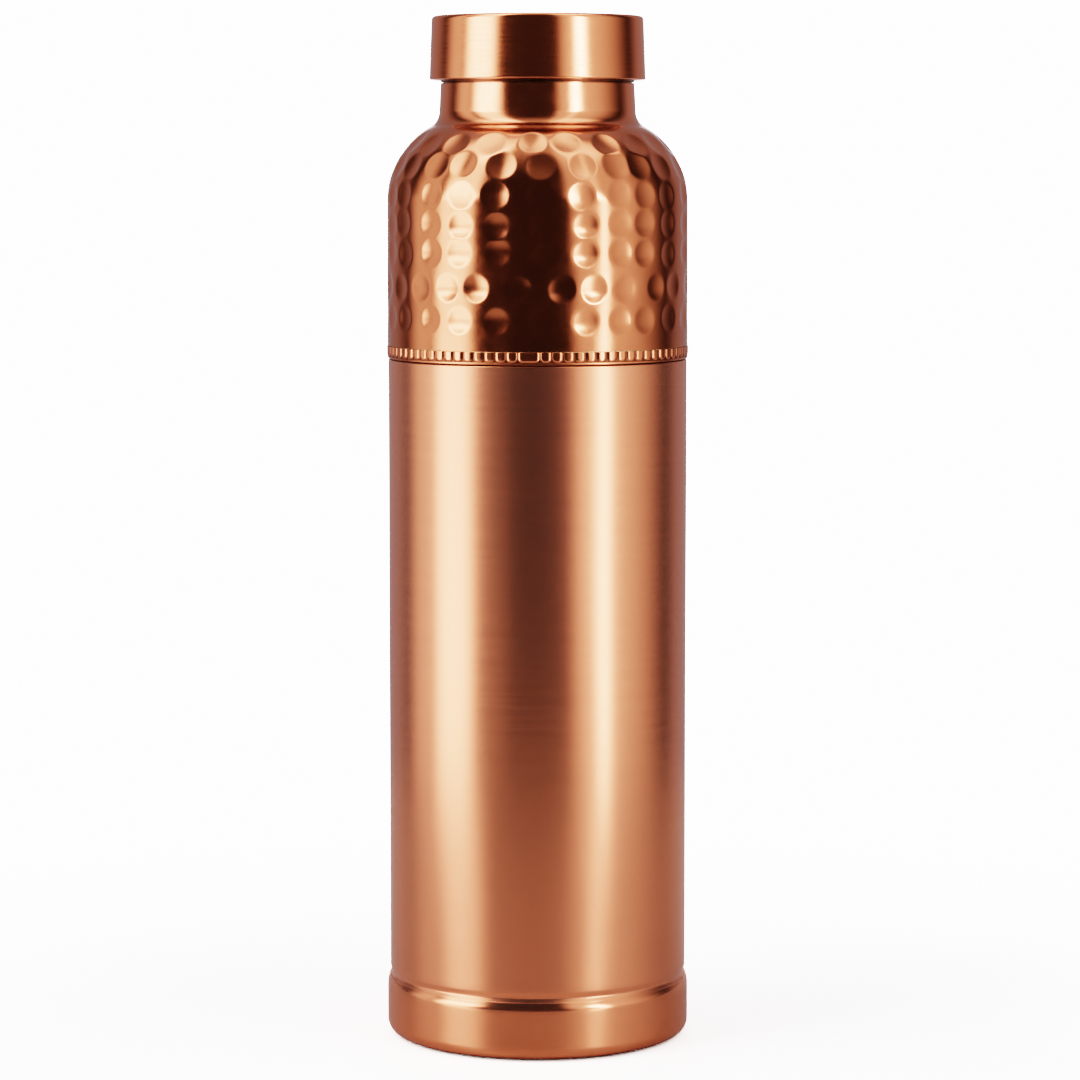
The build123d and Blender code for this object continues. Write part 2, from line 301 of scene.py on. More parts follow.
# %% [markdown]
# ## Hammered shoulder
# The shoulder is one spun sheet: a straight sleeve, a dome, a small fillet and a plain neck that leans
# in a little. Its maker has struck it all round with a ball-faced hammer, row after row, and each blow
# leaves a shallow dish about seven millimetres wide with a crisp rim.
# A bump map would give the glints but not the broken outline, so the dishes are cut into the skin.
# A dish is a cap: its depth falls with the square of the distance from its centre.
# Where two dishes meet the deeper one wins, and a soft maximum keeps the rim between them rounded.
# The blows also sink the metal around them a little, which makes tall reflections run in waves.

# %% The shoulder's outline
sleeve_r, sleeve_low, neck_high = reach("shoulder_shell")
dome_r, dome_z, dome_sweep = 21.0, 210.2, 61.06
fillet_r = 4.4
neck_lean = 3.0
mark_step = 0.47

dome_centre = np.array([sleeve_r - dome_r, dome_z])
sleeve_end = sleeve_low + 0.1
sleeve_steps = np.linspace(sleeve_end + mark_step, dome_z - mark_step, 76)
sleeve_z = np.append([sleeve_end, sleeve_end + GUARD], sleeve_steps)
sleeve = np.column_stack([np.full(len(sleeve_z), sleeve_r), sleeve_z])
dome = arc(dome_centre, dome_r, 0, dome_sweep, 48)
out = np.radians(dome_sweep)
fillet_centre = dome_centre + (dome_r + fillet_r) * np.array([np.cos(out), np.sin(out)])
fillet = arc(fillet_centre, fillet_r, 180 + dome_sweep, 180 + neck_lean, 10)[1:]
climb = (neck_high - fillet[-1, 1]) * np.array([0.02, 0.3, 0.7, 0.965, 0.97])[:, None]
neck = fillet[-1] + climb * np.array([-math.tan(math.radians(neck_lean)), 1])
shoulder_line = np.concatenate([sleeve, dome, fillet, neck])
along = np.concatenate([[0], np.cumsum(np.hypot(*np.diff(shoulder_line, axis=0).T))])
print("the outline of the shoulder is", round(along[-1], 1), "mm long")

# %% Where the hammer fell
FRONT = -90
rows_of_marks = [
    # height, marks in the row, angle of one mark from the front, width and depth of a mark
    (181.7, 24, 0.0, 6.7, 0.30),
    (189.4, 25, 7.4, 6.7, 0.33),
    (197.8, 24, 0.6, 6.9, 0.34),
    (204.9, 24, 0.2, 6.9, 0.34),
    (212.0, 24, -0.2, 7.1, 0.36),
    (219.2, 24, 0.3, 7.5, 0.42),
    (224.65, 21, -3.2, 7.6, 0.40),
]
# the rows of 24 share one wander, so that their marks stand in crooked columns
columns_of_marks = np.random.default_rng(2859).normal(0, 1.3, 24)
jitter = np.random.default_rng(12)
struck = []
for height, count, first, width, depth in rows_of_marks:
    wander = columns_of_marks if count == 24 else jitter.normal(0, 0.9, count)
    place = FRONT + first + np.arange(count) / count * 360 + wander + jitter.normal(0, 0.5, count)
    at = np.interp(height, shoulder_line[:, 1], along) + jitter.normal(0, 0.2, count)
    wide = width * (1 + jitter.normal(0, 0.03, count))
    deep = depth * (1 + jitter.normal(0, 0.08, count))
    struck.append(np.column_stack([np.radians(place), at, wide / 2, deep]))
marks = np.concatenate(struck)
print(len(marks), "hammer marks")

# %% Hammer marks as a field of depth
RIM_SOFTNESS = 0.022
SINK, SINK_REACH = 0.12, 4.0
SINK_STARTS, SINK_FULL = 1, 14  # distances along the outline from the sleeve's lower edge


def hammered(angle, along, radius):
    """Depth in millimetres at each row and column. One mark is the cap depth * (1 - (d / half width)^2),
    where d is the distance over the surface, and a wide, faint bell-shaped sink round it. The caps meet
    in a soft maximum: softness * log(1 + sum of exp(cap / softness))."""
    caps = np.zeros((len(along), len(angle)))
    sink = np.zeros_like(caps)
    for place, at, half, deep in marks:
        turn = (angle - place + math.pi) % FULL_TURN - math.pi
        local = np.interp(at, along, radius)
        square = (turn * local)[None] ** 2 + (along - at)[:, None] ** 2
        cap = deep * (1 - square / half**2)
        caps += np.exp(np.maximum(cap, -1) / RIM_SOFTNESS)
        sink += SINK * np.exp(-square / SINK_REACH**2)
    return RIM_SOFTNESS * np.log1p(caps) + sink * smooth_step(along, SINK_STARTS, SINK_FULL)[:, None]


# %% [markdown]
# The dishes are pushed in along the outline's own normal, so they keep their shape on the dome.
# The inside of the sheet bulges under each dish, except where the barrel fits into it. Nobody looks
# closely at the inside, so it has only every fifth row.

# %% Shoulder
marked_angle = columns(540)
depth = hammered(marked_angle, along, shoulder_line[:, 0])
ahead = np.gradient(shoulder_line, axis=0)
ahead /= np.linalg.norm(ahead, axis=1, keepdims=True)
line_r, line_z = shoulder_line[:, :1], shoulder_line[:, 1:]
bulge = WALL + depth * smooth_step(line_z, barrel_high, barrel_high + 6)
few = np.unique(np.append(np.arange(0, len(along), 5), len(along) - 1))[::-1]
sheet_r = np.concatenate([line_r - depth * ahead[:, 1:], (line_r - bulge * ahead[:, 1:])[few]])
sheet_z = np.concatenate([line_z + depth * ahead[:, :1], (line_z + bulge * ahead[:, :1])[few]])
shoulder = skin("Shoulder", sheet_r, sheet_z, marked_angle)
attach(shoulder, "bottle")
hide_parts("shoulder_shell")

# %% [markdown]
# ## Beaded border
# A strip with a row of pressed beads hides the lap between barrel and shoulder. Each bead is a small
# pad with a round edge on three sides, and the strip's two ends meet in one bead twice as long.
# Separate beads could be copies of one mesh, but on the real strip they are pressed out of the same
# metal, so the whole strip is one skin whose radius rises at each bead.

# %% Beaded border
BEADS, LONG_BEAD = 82, 1.9
seam_angle = FRONT - 3.2
flange_high, flange_r = 0.5, 37.6
flange_lower_edge, flange_upper_edge = 0.12, 0.1
gap_width, bead_slope = 0.2, math.radians(42)
bead_corner, bead_edge = 1.1, 0.72
gap_depth = bead_edge * math.tan(bead_slope / 2)
border_inner = 37.1
bead_pitch = 360 / (BEADS + LONG_BEAD)
pitch_length = math.radians(bead_pitch) * border_r

within = np.sin(np.linspace(-0.5, 0.5, 15)[:-1] * math.pi) / 2
long_within = np.linspace(-0.5, 0.5, 29)[:-1]
centres = LONG_BEAD / 2 + 0.5 + np.arange(BEADS)
strip = np.concatenate([LONG_BEAD * long_within, (centres[:, None] + within).ravel()])
across = np.concatenate([LONG_BEAD * long_within, np.tile(within, BEADS)])
half_width = np.repeat([LONG_BEAD / 2, 0.5], [len(long_within), len(within) * BEADS])
strip_angle = np.radians(seam_angle + strip * bead_pitch)
above_flange = [0.5, 0.53, 0.6, 0.7, 0.82, 0.96, 1.12, 1.32, 1.6, 2.0, 2.4, 2.7, 2.95, 3.0]
bead_z = border_low + np.array(above_flange)
print("one bead is", round(pitch_length, 2), "mm wide, with its gap")


def beads(across, half_width, z):
    """Height of the beads above the strip, from 0 to 1. The distance gone from the middle is that to a
    rectangle with round lower corners. The edge falls as an arc of a circle: the height is
    1 - (1 - sqrt(1 - (o sin slope)^2)) / (1 - cos slope), where o goes from 0 to 1 over the edge."""
    side = np.abs(across) * pitch_length - (half_width * pitch_length - gap_width / 2 - bead_corner)
    below = (border_low + flange_high + bead_corner) - z[:, None]
    side, below = np.broadcast_arrays(side[None], below)
    past_corner = np.hypot(np.maximum(side, 0), np.maximum(below, 0))
    gone = past_corner + np.minimum(np.maximum(side, below), 0)
    outward = 1 - np.clip((bead_corner - gone) / bead_edge, 0, 1)
    drop = 1 - np.sqrt(1 - (outward * math.sin(bead_slope)) ** 2)
    return 1 - drop / (1 - math.cos(bead_slope))


pads = border_r - gap_depth * (1 - beads(across, half_width, bead_z))
flange_top = border_low + flange_high
flange = [
    arc((flange_r - flange_lower_edge, border_low + flange_lower_edge), flange_lower_edge, -90, 0, 4),
    arc((flange_r - flange_upper_edge, flange_top - flange_upper_edge), flange_upper_edge, 0, 70, 3),
]
strip_back = np.array([(border_inner, border_high), (border_inner, border_low)])
ribbon = stacked([*flange, (pads, bead_z), strip_back], strip_angle)
border = skin("Beaded_border", *ribbon, strip_angle)
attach(border, "bottle")
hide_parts("bead_border")

# %% [markdown]
# ## Threads
# The lid screws on. A turned ring with a raised thread is brazed into the neck, and a ring with the
# matching thread is brazed into the lid. The lid climbs four millimetres a turn.
# A thread could be swept along a helix. As a skin it is simpler: on the unrolled ring the ridge is a
# slanted line, so the radius at a point depends only on how far the point is from that line.
# The ridge fades out at both ends, as a cutter leaves it.

# %% Helper for a thread
PITCH = 4.0
RIDGE_BASE, RIDGE_CREST = 2.4, 1.0
RUN_OUT = 0.45  # radians
THREAD_STEP = 0.12


def thread(angle, z, start, turns):
    """Height of the ridge from 0 to 1. The ridge's middle climbs one pitch a turn: its level is
    start + wound / (2 pi) * pitch, where wound is the angle counted on from turn to turn. Its sides are
    straight slopes from the base to the crest, a little rounded, and soft steps fade both ends."""
    level = z[:, None]
    turn = np.round((level - start) / PITCH - angle / FULL_TURN)
    wound = angle + turn * FULL_TURN
    away = np.abs(level - start - wound / FULL_TURN * PITCH)
    slope = np.clip((RIDGE_BASE / 2 - away) * 2 / (RIDGE_BASE - RIDGE_CREST), 0, 1)
    last = turns * FULL_TURN
    ends = smooth_step(wound, 0, RUN_OUT) * smooth_step(-wound, -last, RUN_OUT - last)
    return (0.35 * slope + 0.65 * smooth_step(slope, 0, 1)) * ends


# %% Neck ring
_, ring_low, rim = reach("neck_thread_ring")
bore, root, crest = 22.2, 23.6, 24.7
collar, under_thread, over_thread = 0.8, 1.3, 0.8
neck_start, neck_turns = 242.4, 2.4
FIT = 0.1
neck_edge_r = neck[-1, 0]
spigot_r = neck_edge_r - WALL - FIT
spigot_widens = (neck_high - ring_low) * math.tan(math.radians(neck_lean))
ring_corners = [
    (bore, ring_low, 0.2),
    (spigot_r + spigot_widens, ring_low, 0.2),
    (spigot_r, neck_high, 0),
    (neck_edge_r, neck_high, 0.1),
    (neck_edge_r, neck_high + collar, 0.2),
    (root, neck_high + collar, 0.15),
    (root, rim, 0.5),
    (bore, rim, 0.5),
]
stretches = rounded(ring_corners)
below_thread = join(stretches[:6] + [np.array([(root, neck_high + 1.2)])], closed=False)
above_thread = join(stretches[6:], closed=False)
ring_angle = columns(256)
ring_z = np.arange(neck_high + under_thread, rim - over_thread, THREAD_STEP)
ridged = root + (crest - root) * thread(ring_angle, ring_z, neck_start, neck_turns)
turned_ring = stacked([below_thread, (ridged, ring_z), above_thread], ring_angle)
neck_ring = skin("Neck_ring", *turned_ring, ring_angle)
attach(neck_ring, "bottle")
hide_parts("neck_thread_ring")

# %% [markdown]
# ## Lid
# The lid is spun from one disc: a slightly domed crown, a round shoulder, a wall that opens a little
# towards the bottom, and a curled lower edge that is safe to the hand.
# A cylinder with bevels would be close, but the crown of a real lid is never flat, and it is the slow
# curve of the crown that catches the light.

# %% Lid shell
lid_r, lid_low, lid_top = reach("lid_shell")
lid_edge_r, lid_edge_z = 26.35, 255.9
lid_corner = 1.0
curl_r, curl_high = 25.95, 1.3
crown_high = lid_top - lid_edge_z
crown_bend = (lid_edge_r**2 + crown_high**2) / (2 * crown_high)
CROWN_SHARE = 0.93  # how much of the crown's radius its own curve takes, before the edge's arc
wall_lean = (lid_r - lid_edge_r) / (lid_edge_z - lid_low)


def crown(radius, drop):
    """Height of the crown at a radius: top - drop - radius^2 / (2 * bend), which is very nearly a large
    ball whose top is at the axis."""
    return lid_top - drop - radius**2 / (2 * crown_bend)


def lid_wall(z):
    """Outer radius of the lid at a height: radius at the foot - rise * lean, so it narrows evenly."""
    return lid_r - (z - lid_low) * wall_lean


inside_r = lid_wall(lid_edge_z) - WALL
share = np.linspace(0, CROWN_SHARE, 12)
under_crown = np.column_stack([inside_r * share, crown(inside_r * share, WALL)])
over_crown = np.column_stack([lid_edge_r * share, crown(lid_edge_r * share, 0)])[::-1]
lid_corners = [
    (*under_crown[-1], 0),
    (inside_r, crown(inside_r, WALL), 0.5),
    (lid_wall(lid_low + curl_high) - WALL, lid_low + curl_high, 0.15),
    (curl_r, lid_low + curl_high, 0.4),
    (curl_r, lid_low, 0.45),
    (lid_r, lid_low, 0.45),
    (lid_edge_r, lid_edge_z, lid_corner),
    (*over_crown[0], 0),
]
lid_line = join([under_crown[:-1]] + rounded(lid_corners, closed=False) + [over_crown[1:]], closed=False)
lid = skin("Lid", *lid_line.T, columns(256), closed=False)
print("the crown rises", round(crown_high, 2), "mm")
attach(lid, "lid")
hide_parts("lid_shell")

# %% [markdown]
# ## Ring and seal inside the lid
# The lid's ring carries the same thread, turned inside out: here the ridge reaches towards the axis.
# A soft washer lies on top of it, and the neck's rim presses into that washer when the lid is shut.

# %% Lid ring
_, lid_ring_low, lid_ring_high = reach("lid_thread_ring")
lid_root, lid_crest = 24.9, 23.85
bears_below = 1.674  # from a ridge on the neck down to the lid's ridge that bears on it
lid_start, lid_turns = neck_start + PITCH - bears_below, 1.6
lid_ring_corners = [
    (lid_root, lid_ring_low, 0.4),
    (lid_wall(lid_ring_low) - WALL - FIT, lid_ring_low, 0.2),
    (lid_wall(lid_ring_high) - WALL - FIT, lid_ring_high, 0.2),
    (lid_root, lid_ring_high, 0.2),
]
mouth, *outside = rounded(lid_ring_corners)
lid_ring_z = np.arange(lid_ring_high - 0.3, lid_ring_low + 0.5, -THREAD_STEP)
lid_ridged = lid_root - (lid_root - lid_crest) * thread(ring_angle, lid_ring_z, lid_start, lid_turns)
ring_parts = [join(outside, closed=False), (lid_ridged, lid_ring_z), mouth]
lid_ring = skin("Lid_ring", *stacked(ring_parts, ring_angle), ring_angle)
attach(lid_ring, "lid")
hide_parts("lid_thread_ring")

# %% Seal
seal_r, seal_low, seal_high = reach("lid_seal")
seal_bore, seal_round = 20.8, 0.3
seal_plan = [(seal_bore, seal_low), (seal_r, seal_low), (seal_r, seal_high), (seal_bore, seal_high)]
washer = join(rounded([(*corner, seal_round) for corner in seal_plan]))
seal = skin("Lid_seal", *washer.T, columns(160))
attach(seal, "lid_seal")
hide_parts("lid_seal")

# %% [markdown]
# ## Copper
# All the copper here is one metal with different finishes, so one function makes them all.
# Bare copper reflects red light almost fully, green less than a third and blue a seventh: that ratio is
# its colour, and everything else that one sees is what it mirrors.
# At a glancing angle any metal goes white. Copper keeps a trace of warmth there, which is set as the
# specular tint.
# The finish is in the roughness, in the direction of the tool marks, and in small differences of tone.
# Patterns use Object coordinates, so that they stay on the metal as a body moves.

# %% Helpers for materials
COPPER = (0.95, 0.285, 0.143)
# a dark brown for painted shade, which the copper is blended towards in gaps, under edges and at the table
PAINTED_SHADE = (0.06, 0.018, 0.01, 1.0)
GRAZING = (1.0, 0.9, 0.86, 1.0)


def add(tree, kind, sockets=(), **settings):
    """One node. Each socket is set from a value, or linked if it is given another node's output."""
    made = tree.nodes.new(kind)
    for name, value in settings.items():
        setattr(made, name, value)
    for name, value in dict(sockets).items():
        if isinstance(value, bpy.types.NodeSocket):
            tree.links.new(value, made.inputs[name])
        else:
            made.inputs[name].default_value = value
    return made


def maths(tree, operation, first, second=0.0):
    """One step of arithmetic on two numbers or sockets."""
    return add(tree, "ShaderNodeMath", {0: first, 1: second}, operation=operation).outputs[0]


def place_of(tree):
    """Height above the table and distance from the axis, in metres, on a piece that turns on that axis."""
    parts = add(tree, "ShaderNodeSeparateXYZ", {0: add(tree, "ShaderNodeTexCoord").outputs["Object"]})
    square = [maths(tree, "POWER", parts.outputs[i], 2.0) for i in (0, 1)]
    return parts.outputs[2], maths(tree, "SQRT", maths(tree, "ADD", *square))


def grain(tree, width, height, detail=2.0, seed=(0.0, 0.0, 0.0), turned=False):
    """Noise whose patches are about width millimetres across and height millimetres tall, from 0 to 1.
    On a turned piece the height is counted along the outline, as z plus radius, so lines ring the crown."""
    place = add(tree, "ShaderNodeTexCoord").outputs["Object"]
    if turned:
        parts = add(tree, "ShaderNodeSeparateXYZ", {0: place}).outputs
        along_line = maths(tree, "ADD", *place_of(tree))
        place = add(tree, "ShaderNodeCombineXYZ", {0: parts[0], 1: parts[1], 2: along_line}).outputs[0]
    scale = (1 / (width * MM), 1 / (width * MM), 1 / (height * MM))
    moved = add(tree, "ShaderNodeMapping", {"Vector": place, "Scale": scale, "Location": seed})
    noise = {"Vector": moved.outputs[0], "Scale": 1.0, "Detail": detail, "Roughness": 0.6}
    return add(tree, "ShaderNodeTexNoise", noise).outputs["Fac"]


def remap(tree, value, low, high, to_low, to_high, smooth=True):
    """Soft step from to_low to to_high while the value goes from low to high."""
    span = {"Value": value, "From Min": low, "From Max": high, "To Min": to_low, "To Max": to_high}
    kind = "SMOOTHSTEP" if smooth else "LINEAR"
    return add(tree, "ShaderNodeMapRange", span, interpolation_type=kind).outputs["Result"]


def blend(tree, share, first, second):
    """Mix of two colours by a share from 0 to 1."""
    made = add(tree, "ShaderNodeMix", data_type="RGBA")
    for socket, value in ((0, share), (6, first), (7, second)):
        if isinstance(value, bpy.types.NodeSocket):
            tree.links.new(value, made.inputs[socket])
        else:
            made.inputs[socket].default_value = value
    return made.outputs[2]


def toned(tone, colour=COPPER):
    """The metal's colour made lighter or darker."""
    return tuple(tone * part for part in colour) + (1.0,)


def base_with_painted_shade(tree, shader, colour, share):
    """Links a base colour that goes to a dark painted shade by share. Copper mirrored in copper would turn
    blood red, because its colour is applied twice, so what a mirrored ray sees is paler: a gamma far below 1
    lifts green and blue towards red."""
    mirrored = add(tree, "ShaderNodeLightPath").outputs["Is Glossy Ray"]
    paler = add(tree, "ShaderNodeGamma", {"Color": colour, "Gamma": 0.2}).outputs[0]
    clean = blend(tree, mirrored, colour, paler)
    tree.links.new(blend(tree, share, clean, PAINTED_SHADE), shader.inputs["Base Color"])


def metal(name, stretch=0.0):
    """A metal material: its tree and its shader. Stretch is how much the highlights spread across the
    tool marks, which run round the piece as its UV map does."""
    print("finish:", name)
    material = bpy.data.materials.new(name)
    material.use_nodes = True
    tree = material.node_tree
    shader = tree.nodes["Principled BSDF"]
    shader.inputs["Metallic"].default_value = 1.0
    shader.inputs["Anisotropic"].default_value = stretch
    shader.inputs["Specular Tint"].default_value = GRAZING
    if stretch:
        tangent = add(tree, "ShaderNodeTangent", direction_type="UV_MAP", uv_map="round")
        tree.links.new(tangent.outputs[0], shader.inputs["Tangent"])
    return material, tree, shader


def cloudy(tree, light=1.0, dark=0.93, size=14.0):
    """Colour with faint clouds, as fingers and polish leave on copper."""
    clouds = remap(tree, grain(tree, size, size, detail=3.0), 0.35, 0.65, 0.0, 1.0)
    return blend(tree, clouds, toned(dark), toned(light))


def relief(tree, shader, height, distance):
    """Bump from a height between 0 and 1 that stands for distance millimetres."""
    bump = add(tree, "ShaderNodeBump", {"Height": height, "Distance": distance * MM, "Strength": 1.0})
    tree.links.new(bump.outputs[0], shader.inputs["Normal"])


# %% [markdown]
# ## Brushed barrel
# The barrel is turned in a lathe against an abrasive pad. The pad leaves thousands of fine lines round
# the tube, a few deeper ones, and here and there a short scratch.
# The lines are too fine to model. They scatter light up and down far more than sideways, which is what
# an anisotropic shader does, and noise stretched round the axis breaks it into streaks.
# A rough coat over it gives the milky haze that brushed metal has between its highlights. Right under
# the border the colour is darkened with painted shade.

# %% Brushed copper
brushed, tree, shader = metal("copper_brushed", stretch=-0.7)
fine = grain(tree, 14, 0.11, detail=2.0)
broad = grain(tree, 40, 0.9, detail=3.0, seed=(3.0, 1.0, 7.0))
short = grain(tree, 2.2, 0.16, detail=1.0, seed=(9.0, 4.0, 2.0))
scratches = remap(tree, short, 0.70, 0.80, 0.0, 1.0)
lines = maths(tree, "ADD", maths(tree, "MULTIPLY", fine, 0.6), maths(tree, "MULTIPLY", broad, 0.4))
tone = remap(tree, lines, 0.35, 0.65, 0.0, 1.0, smooth=False)
colour = blend(tree, tone, toned(0.97), toned(1.02))
colour = blend(tree, scratches, colour, toned(1.08))
level, _ = place_of(tree)
# painted shade: just under the beaded border the copper is darkened
base_with_painted_shade(tree, shader, colour, remap(tree, level, (border_low - 0.35) * MM, border_low * MM, 0.0, 0.85))
line_rough = remap(tree, lines, 0.35, 0.65, 0.22, 0.25)
rough = maths(tree, "ADD", line_rough, maths(tree, "MULTIPLY", scratches, -0.06))
tree.links.new(rough, shader.inputs["Roughness"])
relief(tree, shader, lines, 0.0008)
shader.inputs["Coat Weight"].default_value = 0.6
shader.inputs["Coat Roughness"].default_value = 0.5
barrel.data.materials.append(brushed)

# %% [markdown]
# ## Polished, hammered and turned copper
# The lid is polished on a wheel while it turns, so it mirrors the room, yet faint rings remain.
# The hammered shoulder was polished after the last blow: it is bright, with a trace of haze. Its dishes
# are a shade darker than the plain neck, because a wheel rides over them.
# The beads are polished on top and rougher in the gaps, where no cloth reaches, and the gaps are darkened
# with painted shade.
# The thread rings keep the lines of the cutting tool.
# These differ in a few numbers, so each is a short recipe.

# %% Polished lid
polished, tree, shader = metal("copper_polished", stretch=-0.35)
lid_rings = grain(tree, 30, 0.22, detail=2.0, turned=True)
level, radius = place_of(tree)
# painted shade: the underside of the lid's curl is darkened a little
underneath = remap(tree, level, (lid_low + 0.05) * MM, (lid_low + 0.3) * MM, 1.0, 0.0)
inward = remap(tree, radius, (lid_r - 0.8) * MM, (lid_r - 0.3) * MM, 1.0, 0.0)
under_curl = maths(tree, "MULTIPLY", underneath, inward)
painted_shade_share = maths(tree, "MULTIPLY", under_curl, 0.12)
base_with_painted_shade(tree, shader, cloudy(tree, light=1.0, dark=0.96, size=11.0), painted_shade_share)
tree.links.new(remap(tree, lid_rings, 0.3, 0.7, 0.13, 0.19), shader.inputs["Roughness"])
relief(tree, shader, lid_rings, 0.0008)
lid.data.materials.append(polished)

# %% Hammered shoulder
bright, tree, shader = metal("copper_hammered")
haze = grain(tree, 5.0, 5.0, detail=4.0)
level, _ = place_of(tree)
# painted shade: the neck darkens just under the lid's edge
shade_under_lid = remap(tree, level, (neck_high - 0.7) * MM, (neck_high - 0.1) * MM, 0.0, 0.9)
clouds = cloudy(tree, light=0.8, dark=0.74, size=8.0)
fillet_top = neck[0, 1]
above_marks = remap(tree, level, (fillet_top - fillet_r + 0.4) * MM, fillet_top * MM, 0.0, 1.0)
base_with_painted_shade(tree, shader, blend(tree, above_marks, clouds, toned(1.0)), shade_under_lid)
tree.links.new(remap(tree, haze, 0.3, 0.7, 0.12, 0.17), shader.inputs["Roughness"])
planish = grain(tree, 1.6, 1.6, detail=2.0, seed=(5.0, 5.0, 5.0))
relief(tree, shader, planish, 0.006)
shoulder.data.materials.append(bright)

# %% Beads
beaded, tree, shader = metal("copper_beaded")
_, radius = place_of(tree)
top = remap(tree, radius, (border_r - gap_depth) * MM, (border_r - 0.1) * MM, 0.0, 1.0)
# painted shade: the gaps between the beads are darkened
base_with_painted_shade(tree, shader, toned(1.0), maths(tree, "MULTIPLY", maths(tree, "SUBTRACT", 1.0, top), 0.85))
tree.links.new(maths(tree, "SUBTRACT", 0.38, maths(tree, "MULTIPLY", top, 0.2)), shader.inputs["Roughness"])
border.data.materials.append(beaded)

# %% Foot cup: satin band and polished lip
satin, tree, shader = metal("copper_spun", stretch=-0.6)
foot_rings = grain(tree, 25, 0.16, detail=2.0, turned=True)
level, _ = place_of(tree)
# painted shade: the lowest half millimetre, where the foot meets the table, is darkened
contact_shade = remap(tree, level, 0.1 * MM, 0.5 * MM, 0.85, 0.0)
base_with_painted_shade(tree, shader, cloudy(tree, light=1.0, dark=0.96, size=16.0), contact_shade)
lip_share = remap(tree, level, (lip_start - 0.1) * MM, (lip_start + 0.5) * MM, 0.0, 1.0)
band_rough = remap(tree, foot_rings, 0.3, 0.7, 0.22, 0.25)
foot_rough = add(tree, "ShaderNodeMix", {0: lip_share, 2: band_rough, 3: 0.15}).outputs[0]
tree.links.new(foot_rough, shader.inputs["Roughness"])
relief(tree, shader, foot_rings, 0.0004)
shader.inputs["Coat Weight"].default_value = 0.3
shader.inputs["Coat Roughness"].default_value = 0.5
foot_cup.data.materials.append(satin)

# %% Turned rings
turned, tree, shader = metal("copper_turned", stretch=-0.5)
tool_lines = grain(tree, 30, 0.1, detail=1.0, turned=True)
level, _ = place_of(tree)
# painted shade: the rings darken low down, at the neck's rim under the lid
shade_under_lid = remap(tree, level, (neck_high + 0.9) * MM, (neck_high + 1.6) * MM, 0.85, 0.0)
base_with_painted_shade(tree, shader, cloudy(tree, light=0.96, dark=0.82, size=5.0), shade_under_lid)
tree.links.new(remap(tree, tool_lines, 0.3, 0.7, 0.2, 0.34), shader.inputs["Roughness"])
relief(tree, shader, tool_lines, 0.004)
for piece in (neck_ring, lid_ring):
    piece.data.materials.append(turned)

# %% [markdown]
# ## Braze and rubber
# The four brazed seams are thin films of a paler, yellower alloy that has run between the sheets. Their
# CAD shapes are right as they are, and only need the metal.
# The washer is grey-white silicone: matt, a little translucent, with a mould's fine texture.

# %% Braze alloy on the CAD's seams
braze, tree, shader = metal("braze_alloy")
runs = grain(tree, 3.0, 1.2, detail=3.0)
yellower = remap(tree, runs, 0.35, 0.65, 0.0, 1.0)
colour = blend(tree, yellower, (0.78, 0.44, 0.2, 1.0), (0.9, 0.62, 0.34, 1.0))
tree.links.new(colour, shader.inputs["Base Color"])
tree.links.new(remap(tree, runs, 0.3, 0.7, 0.3, 0.5), shader.inputs["Roughness"])
relief(tree, shader, runs, 0.03)
for seam in ("shoulder_braze", "foot_braze", "neck_braze", "lid_braze"):
    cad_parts[seam].material_slots[0].material = braze

# %% Silicone washer
rubber = bpy.data.materials.new("silicone")
rubber.use_nodes = True
tree = rubber.node_tree
shader = tree.nodes["Principled BSDF"]
shader.inputs["Subsurface Weight"].default_value = 0.15
shader.inputs["Subsurface Scale"].default_value = 0.5 * MM
speckle = grain(tree, 0.8, 0.8, detail=3.0)
paler = remap(tree, speckle, 0.35, 0.65, 0.0, 1.0)
colour = blend(tree, paler, (0.72, 0.71, 0.68, 1.0), (0.8, 0.79, 0.76, 1.0))
tree.links.new(colour, shader.inputs["Base Color"])
tree.links.new(remap(tree, speckle, 0.3, 0.7, 0.5, 0.62), shader.inputs["Roughness"])
relief(tree, shader, speckle, 0.02)
seal.data.materials.append(rubber)
print("finish: silicone")

# %% [markdown]
# ## The studio
# A polished bottle shows the room and hardly anything else, so the light is designed as the picture in
# the metal. Two tall soft boxes stand left and right of the camera. Each is brightest at eye level and
# leans in above it, so its image bends inwards on the lid and the dome. Dim panels and pale walls fill
# the room beyond them, a black cloth hangs round the camera, and two panels and a pale ceiling hang
# overhead.
# Lamps of that size could be area lights. Here they are drawn on the world's sphere, by the bearing and
# the elevation of the light's direction: each box is a soft step up and a soft step down.
# The eye sees plain white behind the bottle, so rays from the camera get white instead.

# %% Directions on the world's sphere
world = bpy.data.worlds.new("studio")
bpy.context.scene.world = world
world.use_nodes = True
tree = world.node_tree
background = tree.nodes["Background"]
way = add(tree, "ShaderNodeSeparateXYZ", {0: add(tree, "ShaderNodeTexCoord").outputs["Generated"]})
towards = maths(tree, "MULTIPLY", way.outputs[1], -1.0)
bearing = maths(tree, "DEGREES", maths(tree, "ARCTAN2", way.outputs[0], towards))
elevation = maths(tree, "DEGREES", maths(tree, "ARCSINE", way.outputs[2]))


def window(value, rise, fall):
    """1 between two soft steps: up over the pair of angles in rise, and down over the pair in fall."""
    up = remap(tree, value, *rise, 0.0, 1.0)
    down = remap(tree, value, *fall, 1.0, 0.0)
    return maths(tree, "MULTIPLY", up, down)


# %% Lamps
away = maths(tree, "ABSOLUTE", bearing)
risen = remap(tree, elevation, 1.0, 9.0, 0.0, 1.0)
body_of_box = remap(tree, elevation, -5.0, -2.5, 0.46, 0.3)
eye_level = window(elevation, (0.5, 6.0), (8.0, 12.0))


